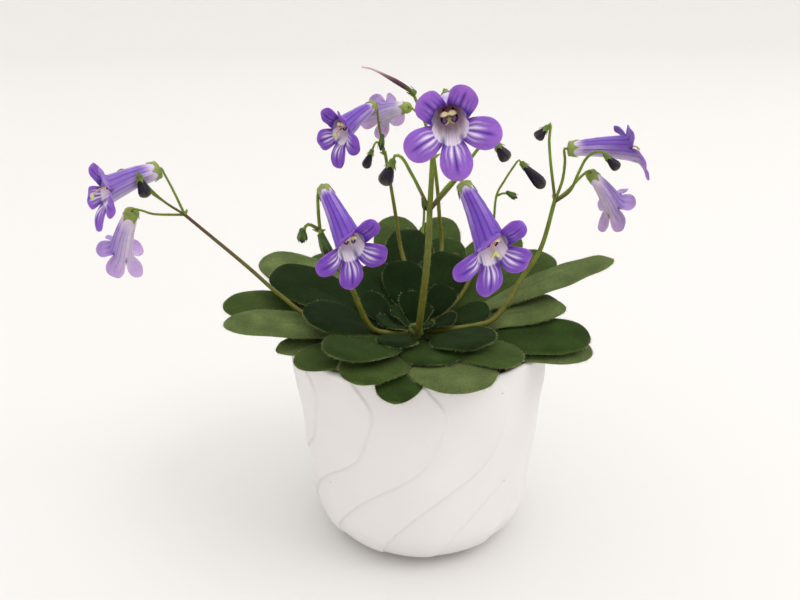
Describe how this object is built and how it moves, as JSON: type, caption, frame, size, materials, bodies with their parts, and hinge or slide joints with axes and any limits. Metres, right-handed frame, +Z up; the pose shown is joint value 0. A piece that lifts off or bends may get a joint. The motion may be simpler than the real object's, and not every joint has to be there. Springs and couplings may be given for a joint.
{
  "type": "potted primulina petrocosmeoides",
  "caption": "Flowering rosette house plant with thick downy leaves and violet tubular flowers on thin scapes, growing in a round white ceramic pot with a swirled relief.",
  "frame": {"origin": "middle of the pot's flat underside, on the surface it stands on", "axes": "+Z up along the pot's axis, -Y towards the front of the pot (the picture's viewer), +X to the viewer's right"},
  "size_m": [0.1836, 0.1439, 0.1643],
  "materials": {
    "pot": "white satin glaze",
    "soil": "dark damp peat mix",
    "crown": "young green, downy",
    "leaf": "dark green, velvety with short pale hairs",
    "scape": "olive green, hairy",
    "corolla": "soft violet petals with darker stripes",
    "bud": "violet-black"
  },
  "bodies": {
    "root": {"pot": "pot", "soil": "soil", "crown": "crown", "scape_left": "scape", "scape_front_left": "scape", "scape_front_middle": "scape", "scape_rear_left": "scape", "scape_rear_capsule": "scape", "scape_right": "scape", "scape_rear_right": "scape", "scape_rear_short": "scape", "corolla_left_upper": "corolla", "corolla_left_hanging": "corolla", "corolla_middle_left": "corolla", "corolla_behind": "corolla", "corolla_front_upper": "corolla", "corolla_front_left": "corolla", "corolla_front_right": "corolla", "corolla_right_upper": "corolla", "corolla_right_hanging": "corolla", "bud_left": "bud", "bud_middle_low": "bud", "bud_front_left": "bud", "bud_front_right": "bud", "bud_rear_right": "bud", "bud_right_upper": "bud", "bud_right_outer": "bud", "leaf_rear_right_small": "leaf", "leaf_left_heart": "leaf", "leaf_rear_inner": "leaf", "leaf_front_left_inner": "leaf", "leaf_left_inner": "leaf", "leaf_rear_right_inner": "leaf", "leaf_front_right_inner": "leaf", "leaf_right_heart": "leaf", "leaf_rear_left_dark": "leaf", "leaf_front_left_downy": "leaf", "leaf_left_broad": "leaf", "leaf_rear_broad": "leaf", "leaf_right_long": "leaf", "leaf_front_middle": "leaf", "leaf_rear_right_middle": "leaf", "leaf_right_edge": "leaf", "leaf_front_left_low": "leaf", "leaf_front_right_small": "leaf", "leaf_left_top": "leaf", "leaf_left_long": "leaf", "leaf_rear_right_broad": "leaf", "leaf_rear_right_pale": "leaf", "leaf_right_front_broad": "leaf", "leaf_front_right_broad": "leaf", "leaf_left_rim": "leaf", "leaf_left_low": "leaf", "leaf_right_dark": "leaf", "leaf_left_behind": "leaf", "leaf_rear_tall": "leaf", "leaf_rear_right_far": "leaf", "leaf_front_hanging": "leaf", "leaf_left_dark": "leaf", "leaf_right_front_low": "leaf"}
  },
  "joints": []
}
